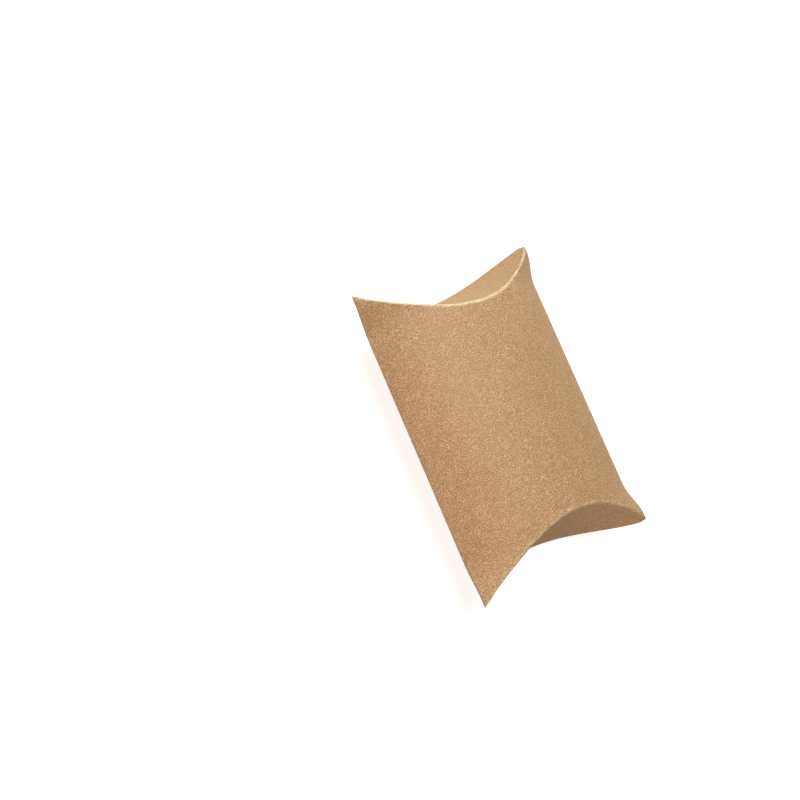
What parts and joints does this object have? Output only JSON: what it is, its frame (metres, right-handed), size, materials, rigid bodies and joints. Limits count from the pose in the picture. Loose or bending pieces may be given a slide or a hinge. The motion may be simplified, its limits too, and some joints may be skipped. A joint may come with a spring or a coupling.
{
  "type": "pillow box",
  "caption": "Small kraft board pillow box with bowed front and back panels and curved tuck-in end flaps, lying on its back.",
  "frame": {"origin": "lowest point of the back panel, under the middle of the box", "axes": "+Z is the front panel's outward direction, +Y runs along the box towards its top mouth, +X is to the right seen from the front"},
  "size_m": [0.064, 0.089, 0.0256],
  "materials": {
    "kraft_board": "matte",
    "glue": "matte"
  },
  "bodies": {
    "sleeve": {"front_panel": "kraft_board", "back_panel": "kraft_board", "glue_tab": "kraft_board", "glue_line": "glue"},
    "top_outer": {"top_outer_flap": "kraft_board"},
    "top_inner": {"top_inner_flap": "kraft_board"},
    "bottom_outer": {"bottom_outer_flap": "kraft_board"},
    "bottom_inner": {"bottom_inner_flap": "kraft_board"}
  },
  "joints": [
    {"name": "top_outer_fold", "type": "hinge", "parent": "sleeve", "child": "top_outer", "pos_m": [0, 0.0313, 0.0256], "axis": [1, 0, 0], "range_deg": [0, 110]},
    {"name": "top_inner_fold", "type": "hinge", "parent": "sleeve", "child": "top_inner", "pos_m": [0, 0.0313, 0], "axis": [-1, 0, 0], "range_deg": [0, 46.5]},
    {"name": "bottom_outer_fold", "type": "hinge", "parent": "sleeve", "child": "bottom_outer", "pos_m": [0, -0.0313, 0.0256], "axis": [-1, 0, 0], "range_deg": [0, 110]},
    {"name": "bottom_inner_fold", "type": "hinge", "parent": "sleeve", "child": "bottom_inner", "pos_m": [0, -0.0313, 0], "axis": [1, 0, 0], "range_deg": [0, 46.5]}
  ],
  "couplings": [
    {"joint": "top_inner_fold", "follows": "top_outer_fold", "ratio": 0.42},
    {"joint": "bottom_inner_fold", "follows": "bottom_outer_fold", "ratio": 0.42}
  ]
}
